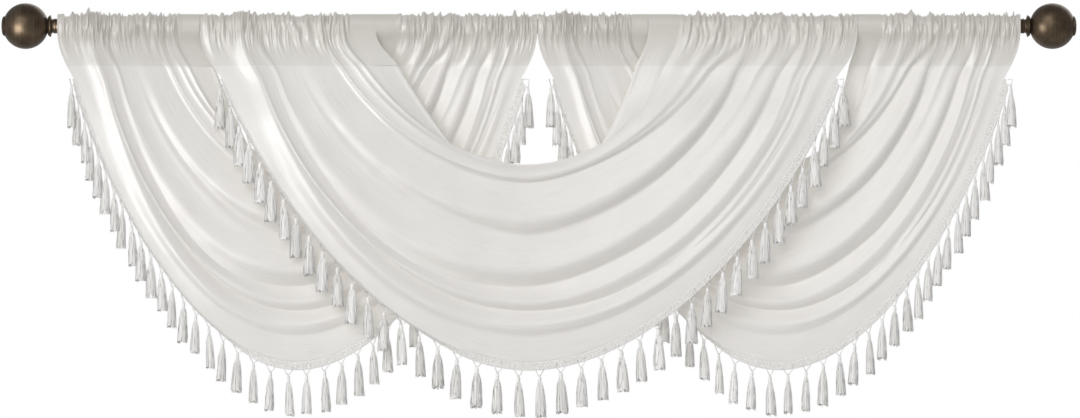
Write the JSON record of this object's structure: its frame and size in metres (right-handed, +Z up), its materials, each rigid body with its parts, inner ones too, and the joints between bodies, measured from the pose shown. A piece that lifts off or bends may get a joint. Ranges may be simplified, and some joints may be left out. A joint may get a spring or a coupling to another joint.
{
  "type": "swag drape on a rod",
  "caption": "Gathered satin swags with tassel fringe, threaded side by side on a round pole that ends in ball finials.",
  "frame": {"origin": "the middle of the pole's axis, where the wall's brackets hold the pole", "axes": "+X along the pole, +Z up, and the front of the cloth faces -Y"},
  "size_m": [2.58, 0.1273, 0.9885],
  "materials": {
    "satin": "ivory satin with a soft sheen",
    "fringe_yarn": "ivory braid and twisted yarn",
    "antique_bronze": "dark brushed bronze"
  },
  "bodies": {
    "root": {"panel_left": "satin", "panel_centre": "satin", "panel_right": "satin", "fringe_left": "fringe_yarn", "fringe_centre": "fringe_yarn", "fringe_right": "fringe_yarn", "rod": "antique_bronze", "collar_left": "antique_bronze", "collar_right": "antique_bronze", "finial_left": "antique_bronze", "finial_right": "antique_bronze"}
  },
  "joints": []
}
